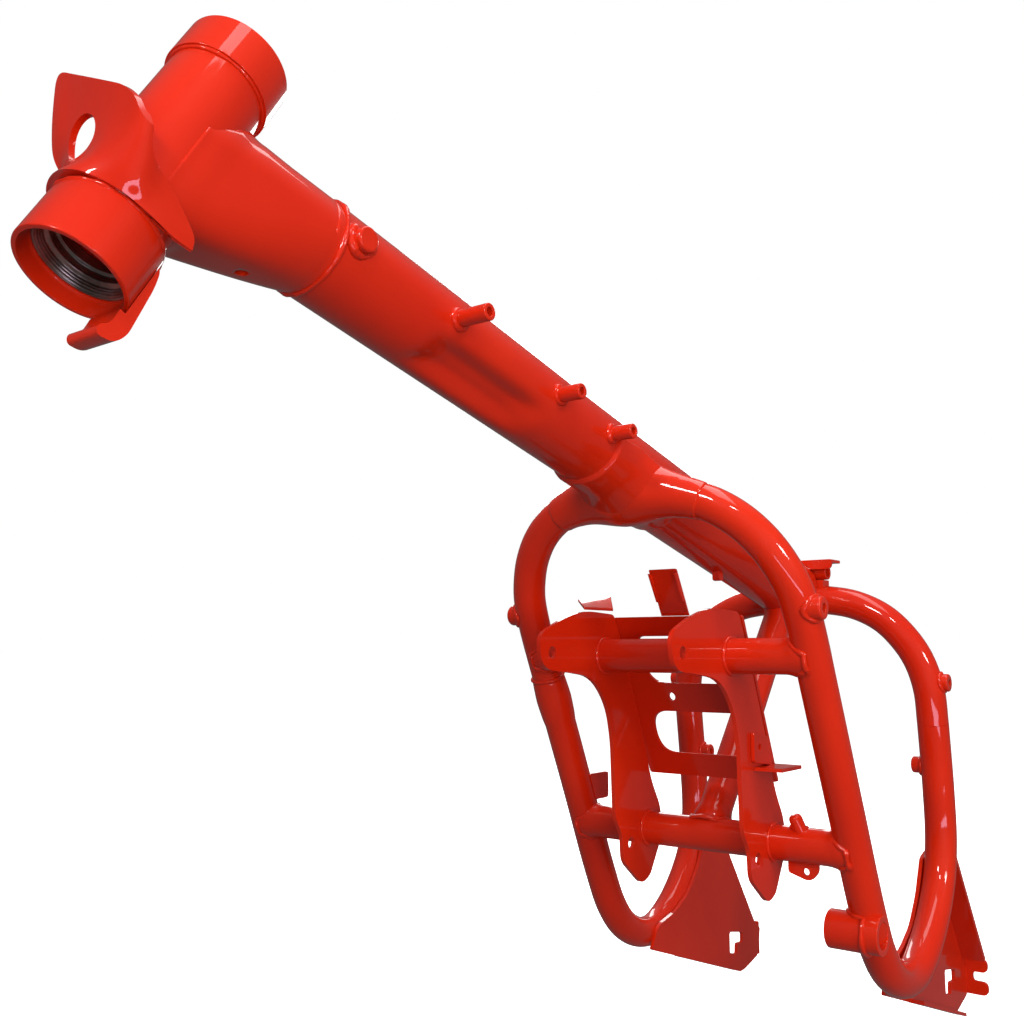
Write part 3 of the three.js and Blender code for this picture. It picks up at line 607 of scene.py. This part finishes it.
# Free edge of the bracket: what lies inside these outlines (u, v, corner radius) is trimmed away
EAR_TRIM = [(-17, 187, 3), (-21, 196, 5), (-26.8, 207, 5), (-25.3, 245.6, 8), (25.5, 222.6, 5),
            (32, 216.5, 3), (37, 204, 3), (41, 186, 0), (70, 186, 0), (70, 280, 0), (-70, 280, 0),
            (-70, 187, 0)]
WING_TRIM = [(443, 240, 0), (438, 212, 4), (436, 194, 6), (426, 189, 6), (417, 178, 6), (410.5, 169.5, 5),
             (412, 162, 4), (412, 140, 0), (390, 140, 0), (390, 240, 0)]


def spread(points, steps):
    """Points spaced evenly by index along a polyline."""
    marks = np.linspace(0, 1, steps + 1)
    known = np.linspace(0, 1, len(points))
    return np.column_stack([np.interp(marks, known, points[:, k]) for k in range(3)])


def net_sheet(net, thickness, across_steps, up_steps):
    """Points and faces of an even sheet on a smooth surface through a net of points."""
    columns = [spread(smooth_path(row, 0.5), up_steps) for row in net]
    rows = [spread(smooth_path([c[j] for c in columns], 0.5), across_steps) for j in range(up_steps + 1)]
    grid = np.array(rows)
    normal = np.cross(np.gradient(grid, axis=1), np.gradient(grid, axis=0))
    normal /= np.linalg.norm(normal, axis=-1)[..., None]
    outer = grid + normal * thickness / 2
    inner = grid - normal * thickness / 2
    rings = np.concatenate([outer, inner[:, ::-1]], axis=1)
    return skin(rings)


def rounded(corners):
    """An outline with its corners (u, v, size) eased."""
    outline = []
    for i, (u, v, size) in enumerate(corners):
        here = np.array([u, v], dtype=float)
        before = np.array(corners[i - 1][:2]) - here
        after = np.array(corners[(i + 1) % len(corners)][:2]) - here
        start = here + before / np.linalg.norm(before) * size
        end = here + after / np.linalg.norm(after) * size
        for t in np.linspace(0, 1, 7 if size else 1):
            outline.append((1 - t) ** 2 * start + 2 * t * (1 - t) * here + t * t * end)
    return np.array(outline)


def trim(piece, outline, axis, low, high):
    """Cuts away what lies inside an outline drawn across an axis (0 = x, 1 = y), from low to high."""
    flat = rounded(outline)
    rings = [np.insert(flat, axis, level, axis=1) for level in (low, high)]
    cut_away(piece, *skin(np.array(rings)))


def build_neck_bracket():
    points, faces = net_sheet(BRACKET_NET, 2.8, 110, 44)
    bracket = add_piece("neck_bracket_skin", points, faces, PAINT, ["neck_bracket"])
    bore(bracket, [434, -2, 206], [458, -2, 211], EAR_HOLE_R)
    trim(bracket, EAR_TRIM, 0, 436.5, 475)
    trim(bracket, WING_TRIM, 1, 15, 60)
    soften(bracket, 0.7, 3, 50)


# Arch saddle: a pressed cradle that wraps the spine's underside and runs out along the front hoop

def build_saddle():
    path = straight(spine_at(134), spine_at(6), 1.0)
    across, up = carried_frames(path)
    sides = 128
    turn = np.linspace(0, 2 * np.pi, sides, endpoint=False)
    ring = np.cos(turn)[None, :, None] * across[:, None] + np.sin(turn)[None, :, None] * up[:, None]
    rings = path[:, None] + ring * (SPINE_R + 2.6)
    drop = np.degrees(np.arcsin(np.clip(-ring[..., 2], -1, 1)))
    front = 90 + 9 * np.sin(np.radians(np.clip(drop, 0, 90))) ** 1.5
    top = np.interp(rings[..., 0], [-2, 32, 45, 64, 92], [121, 116, 123, 134, 139])
    inside = np.minimum((front - rings[..., 0]) / 2.0, (top - rings[..., 2]) / 2.0)
    lift = np.clip(inside, -1, 0) * 4.0
    gap = pipes["hoop"].distance(rings.reshape(-1, 3)).reshape(lift.shape)
    fillet = 26 / 4 * np.clip(1 - gap / 26, 0, 1) ** 2 * np.clip(inside + 1, 0, 1)
    rings = path[:, None] + ring * (SPINE_R + 2.6 + lift + fillet)[..., None]
    points, faces = skin(rings)
    add_piece("arch_saddle_cradle", points, faces, PAINT, ["arch_saddle"])
    wings = hoop_path[np.abs(hoop_path[:, 1]) < 58]
    wings = even(wings, 1.0)
    reach = np.abs(wings[:, 1])
    radius = HOOP_R + 2.2 - 1.2 * np.clip((reach - 42) / 13.0, 0, 1) - 1.6 * np.clip((reach - 56) / 1.6, 0, 1)
    flare = tube_rings(wings, radius, 72, fillets=[(Pipe(path, SPINE_R + 2.6), 26)])
    offset = flare - wings[:, None]
    behind = offset @ np.array([1.0, 0.0, -HOOP_LEAN]) / math.hypot(1.0, HOOP_LEAN)
    shrink = np.clip((-behind - 2.0) / 2.5, 0, 1)
    flare = wings[:, None] + offset * (1 - 0.25 * shrink)[..., None]
    points, faces = skin(flare)
    add_piece("arch_saddle_wings", points, faces, PAINT)


# Weld beads

def joint_loop(start, end, radius, target, sides=72):
    """Where a round bar that runs from start to end first meets the skin of a pipe."""
    start = np.asarray(start, dtype=float)
    end = np.asarray(end, dtype=float)
    axis = (end - start) / np.linalg.norm(end - start)
    across = np.cross(axis, [0.0, 0.0, 1.0])
    if np.linalg.norm(across) < 0.1:
        across = np.cross(axis, [0.0, 1.0, 0.0])
    across /= np.linalg.norm(across)
    up = np.cross(axis, across)
    turn = np.linspace(0, 2 * np.pi, sides, endpoint=False)
    line = start + radius * (np.cos(turn)[:, None] * across + np.sin(turn)[:, None] * up)
    length = np.linalg.norm(end - start)
    marks = np.linspace(0, length, 160)
    found = np.full(sides, length)
    for k in range(sides):
        inside = target.distance(line[k] + marks[:, None] * axis) < 0
        if inside.any():
            found[k] = marks[np.argmax(inside)]
    return line + found[:, None] * axis


def bead_rings(path, radius, closed, seed):
    """Rings of a weld bead: a round ridge with overlapping ripples and a slightly uneven width."""
    across, up = carried_frames(path, closed)
    count = len(path)
    spacing = np.linalg.norm(path[1] - path[0])
    ripples = max(4, round(count * spacing / 2.6))
    phase = (np.arange(count) / count * ripples) % 1.0
    scale = np.array([1 + 0.45 * noise.noise(Vector((seed * 3.1, i * spacing * 0.16, 0.5)))
                      for i in range(count)])
    scale *= 0.94 + 0.1 * np.sqrt(np.maximum(0.0, 1 - phase ** 2))
    if not closed:
        taper = np.minimum(1.0, (np.minimum(np.arange(count), count - 1 - np.arange(count)) + 0.6) / 4.0)
        scale *= taper
    turn = np.linspace(0, 2 * np.pi, 12, endpoint=False)
    ring = np.cos(turn)[None, :, None] * across[:, None] + np.sin(turn)[None, :, None] * up[:, None]
    return path[:, None] + ring * (radius * scale)[:, None, None]


class Beads:
    """Weld beads gathered into one piece."""

    def __init__(self, name):
        self.name = name
        self.points = []
        self.faces = []
        self.count = 0

    def add(self, loop, radius=2.3, closed=True):
        path = even(loop, 0.65, closed)
        rings = bead_rings(path, radius, closed, seed=len(self.faces) % 97)
        points, faces = skin(rings, closed)
        self.faces.extend([tuple(i + self.count for i in f) for f in faces])
        self.points.append(points)
        self.count += len(points)

    def build(self):
        add_piece(self.name, np.vstack(self.points), self.faces, BEAD_PAINT)


def circle(centre, normal, radius, sides=72):
    normal = np.asarray(normal, dtype=float) / np.linalg.norm(normal)
    across = np.cross(normal, [0.0, 0.0, 1.0])
    if np.linalg.norm(across) < 0.1:
        across = np.cross(normal, [0.0, 1.0, 0.0])
    across /= np.linalg.norm(across)
    up = np.cross(normal, across)
    turn = np.linspace(0, 2 * np.pi, sides, endpoint=False)
    return np.asarray(centre, dtype=float) + radius * (np.cos(turn)[:, None] * across
                                                       + np.sin(turn)[:, None] * up)


def build_cage_beads():
    beads = Beads("cage_weld_beads")
    upper_x, upper_z = UPPER_CROSS
    lower_x, lower_z = LOWER_CROSS
    strut_middle = [-150, 0, -24]
    for side, name in ((1, "loop_left"), (-1, "loop_right")):
        upper_joint = joint_loop([upper_x, side * 70, upper_z], [upper_x, side * LEG_Y, upper_z], CROSS_R,
                                 pipes["hoop"])
        lower_joint = joint_loop([lower_x, side * 70, lower_z], [lower_x, side * LEG_Y, lower_z], CROSS_R,
                                 pipes[name])
        beads.add(upper_joint, 1.7)
        beads.add(lower_joint, 1.7)
    beads.add(circle(hoop_at(-LEG_Y, JOINT_Z), [HOOP_LEAN, 0, 1.0], HOOP_R + 0.2), 1.3)
    beads.add(joint_loop(strut_middle, [-210, 0, 48.2], CROSS_R, pipes["spine"]), 1.8)
    beads.add(joint_loop(strut_middle, [-66, 0, -124.8], CROSS_R + 2.4, pipes["lower_cross"]), 1.8)
    for side in (1, -1):
        for edge in (-1, 1):
            y = side * (CHEEK_Y + edge * 2.0)
            beads.add(circle([upper_x, y, upper_z], [0, 1, 0], CROSS_R + 0.3), 1.3)
            beads.add(circle([lower_x, y, lower_z], [0, 1, 0], CROSS_R + 0.3), 1.3)
    beads.build()


def build_plate_beads():
    """Short welds between the side loops and the rear plates."""
    beads = Beads("plate_weld_beads")
    for side in (1, -1):
        path = loop_paths[side]
        foot = path[(path[:, 0] < -150) & (path[:, 0] > -232) & (path[:, 2] < -165)]
        inner = foot + np.array([0.0, -side * (HOOP_R + 0.4), 0.0])
        beads.add(inner, 1.8, closed=False)
    beads.build()


def build_head_beads():
    beads = Beads("head_weld_beads")
    axis = head_at(1) - head_at(0)
    beads.add(circle(head_at(LOWER_CUP + 0.5), axis, HEAD_R + 0.8, 96), 1.5)
    beads.add(circle(head_at(HEAD_LENGTH - UPPER_CUP - 0.3), axis, HEAD_R + 0.2, 96), 0.9)
    beads.add(np.array(neck_ring(1.0)), 1.5)
    beads.build()


def build_studs():
    """Turned studs and sleeves, rounder than in the solids."""
    x, z = NECK_STUD
    add_bar("neck_boss_skin", [x, 8, z], [x, 31, z], NECK_STUD_R, "neck_boss", edge=1.4)
    for place, x, tip in SPINE_STUDS:
        name = "spine_boss_" + place
        z = spine_at(x)[2] + 1
        add_bar(name + "_skin", [x, 18, z], [x, tip, z], SPINE_STUD_R, name, 2.4, tip - SPINE_R - 4)
    drilled = [
        ("hoop_boss", HOOP_BOSS, HOOP_BOSS_R, (108, 124), 3.0, 9, 1.6),
        ("rear_leg_boss", LEG_BOSS, LEG_BOSS_R, (108, 91), 2.6, 5, 1.2),
        ("rear_arch_boss", ARCH_BOSS, ARCH_BOSS_R, (108, 125), 2.6, 6, 1.2),
    ]
    for side, hand in ((1, "_left"), (-1, "_right")):
        for name, (x, z), radius, (base, tip), hole, depth, edge in drilled:
            add_bar(name + hand + "_skin", [x, side * base, z], [x, side * tip, z], radius, name + hand,
                    hole, depth, edge)
    add_bar("cross_tube_pin_skin", [LOWER_CROSS[0], 76, LOWER_CROSS[1]], [-56, 70, -108], 4.6,
            "cross_tube_pin", edge=3.4)
    x, z = PIVOT
    add_sleeve("pivot_tube_skin", [x, PIVOT_Y[0], z], [x, PIVOT_Y[1], z], PIVOT_R, 8.7, "pivot_tube")
    x = arch_at(0, ARCH_TOP_Z)[0] - 2
    add_sleeve("seat_hinge_tube_skin", [x, -HINGE_HALF, HINGE_Z], [x, HINGE_HALF, HINGE_Z], 6.5, 4.5,
               "seat_hinge_tube")


def build_stud_beads():
    beads = Beads("stud_weld_beads")
    for _, x, tip in SPINE_STUDS:
        z = spine_at(x)[2] + 1
        beads.add(joint_loop([x, tip, z], [x, 0, z], SPINE_STUD_R + 0.2, pipes["spine"], 48), 1.9)
    x, z = NECK_STUD
    beads.add(joint_loop([x, 40, z], [x, 0, z], NECK_STUD_R + 0.4, pipes["spine"], 48), 2.4)
    for side, loop in ((1, "loop_left"), (-1, "loop_right")):
        bosses = [
            (HOOP_BOSS, HOOP_BOSS_R, 130, 100, "hoop", 2.0),
            (ARCH_BOSS, ARCH_BOSS_R, 130, 100, "arch", 1.6),
            (LEG_BOSS, LEG_BOSS_R, 86, 110, loop, 1.6),
        ]
        for (x, z), radius, start, end, tube, size in bosses:
            foot = joint_loop([x, side * start, z], [x, side * end, z], radius + 0.1, pipes[tube], 48)
            beads.add(foot, size)
    beads.add(joint_loop([-62, 70, -112], [-63, 74, -129], 5.0, pipes["lower_cross"], 40), 1.6)
    x, z = PIVOT
    beads.add(joint_loop([x, 80, z], [x, 110, z], PIVOT_R + 0.2, pipes["loop_left"], 64), 1.7)
    beads.build()


def keep_solid(name):
    """A solid shown as it is, with softened edges and the powder coat."""
    piece = frame["nodes"][name]
    piece.data.materials.clear()
    piece.data.materials.append(SHEET_PAINT)
    piece.data.polygons.foreach_set("use_smooth", [True] * len(piece.data.polygons))
    weld = piece.modifiers.new("weld", "WELD")
    weld.merge_threshold = 1e-6
    soften(piece, 0.5)


SOLIDS = ["spine_clip", "bracket_cheek_left", "bracket_cheek_right", "bracket_back_plate", "cable_strap",
          "cheek_top_tab", "hanging_tab", "cheek_side_tab", "leg_tab", "rear_plate_left", "rear_plate_right",
          "seat_bracket_plate", "seat_foot_left", "seat_foot_right", "steering_stop"]


# Light, floor and camera

def add_floor():
    mesh = bpy.data.meshes.new("floor")
    size = 80.0
    corners = [(-size, -size, 0), (size, -size, 0), (size, size, 0), (-size, size, 0)]
    mesh.from_pydata(corners, [], [(0, 1, 2, 3)])
    floor = bpy.data.objects.new("floor", mesh)
    bpy.context.scene.collection.objects.link(floor)
    floor.location.z = -0.002
    material, tree, shader = new_material("floor_white")
    shader.inputs["Base Color"].default_value = (0.93, 0.93, 0.93, 1.0)
    shader.inputs["Roughness"].default_value = 0.9
    shader.inputs["Specular IOR Level"].default_value = 0.1
    shader.inputs["Emission Color"].default_value = (1.0, 1.0, 1.0, 1.0)
    shader.inputs["Emission Strength"].default_value = 1.0
    mesh.materials.append(material)
    floor.visible_diffuse = False
    floor.visible_glossy = False


def add_softbox(name, place, target, width, height, power, colour=(1.0, 1.0, 1.0), reflected=True):
    light = bpy.data.lights.new(name, "AREA")
    light.shape = "RECTANGLE"
    light.size = width
    light.size_y = height
    light.energy = power
    light.color = colour
    lamp = bpy.data.objects.new(name, light)
    lamp.location = Vector(place)
    lamp.visible_glossy = reflected
    lamp.rotation_euler = (Vector(target) - Vector(place)).to_track_quat("-Z", "Y").to_euler()
    bpy.context.scene.collection.objects.link(lamp)


def add_lights():
    middle = Vector(world([120, 0, 40]))
    add_softbox("top_panel", middle + Vector((-0.5, -0.4, 1.5)), middle, 3.0, 2.2, 34, reflected=False)
    add_softbox("camera_fill", middle + Vector((1.2, 1.6, 0.2)), middle, 1.6, 1.2, 20, reflected=False)
    add_softbox("low_fill", middle + Vector((0.9, 0.9, -0.28)), middle, 1.4, 0.3, 7, reflected=False)
    add_softbox("small_window", middle + Vector((1.3, 1.1, 1.5)), middle, 0.2, 0.16, 5)
    add_softbox("front_softbox", middle + Vector((1.5, 0.2, 1.1)), middle, 0.34, 0.24, 12)
    add_softbox("left_softbox", middle + Vector((0.2, 1.9, 0.7)), middle, 0.4, 0.28, 10)
    add_softbox("top_strip", middle + Vector((-0.2, 0.3, 1.6)), middle, 1.6, 0.5, 8)
    add_softbox("low_strip", middle + Vector((1.2, 1.5, -0.55)), middle, 1.6, 0.14, 4.5, (0.92, 0.76, 1.0))
    add_softbox("rear_softbox", middle + Vector((-1.8, -1.2, 0.8)), middle, 0.9, 0.6, 10)
    sky = bpy.data.worlds.new("studio")
    bpy.context.scene.world = sky
    sky.use_nodes = True
    tree = sky.node_tree
    background = tree.nodes["Background"]
    background.inputs["Color"].default_value = (1.0, 1.0, 1.0, 1.0)
    rays = tree.nodes.new("ShaderNodeLightPath")
    strength = tree.nodes.new("ShaderNodeMapRange")
    strength.inputs["To Min"].default_value = 0.13
    strength.inputs["To Max"].default_value = 1.0
    tree.links.new(rays.outputs["Is Camera Ray"], strength.inputs["Value"])
    tree.links.new(strength.outputs["Result"], background.inputs["Strength"])


def add_camera():
    """The photograph's viewpoint: front left, a little below the upper cross tube, looking slightly up."""
    data = bpy.data.cameras.new("camera")
    data.sensor_width = 36.0
    data.lens = 37.97
    camera = bpy.data.objects.new("camera", data)
    forward = Vector((-0.7792, -0.6139, 0.1267)).normalized()
    right = forward.cross(Vector((0, 0, 1))).normalized()
    up = right.cross(forward)
    place = Matrix((right, up, -forward)).transposed().to_4x4()
    place.translation = Vector(world([661.7, 389.4, 4.0]))
    camera.matrix_world = place
    bpy.context.scene.collection.objects.link(camera)
    bpy.context.scene.camera = camera


add_camera()
add_floor()
add_lights()
bpy.context.scene.view_settings.view_transform = "Standard"
build_cage()
build_spine()
build_head()
build_neck()
build_neck_bracket()
build_saddle()
build_studs()
for solid in SOLIDS:
    keep_solid(solid)
build_cage_beads()
build_plate_beads()
build_head_beads()
build_stud_beads()
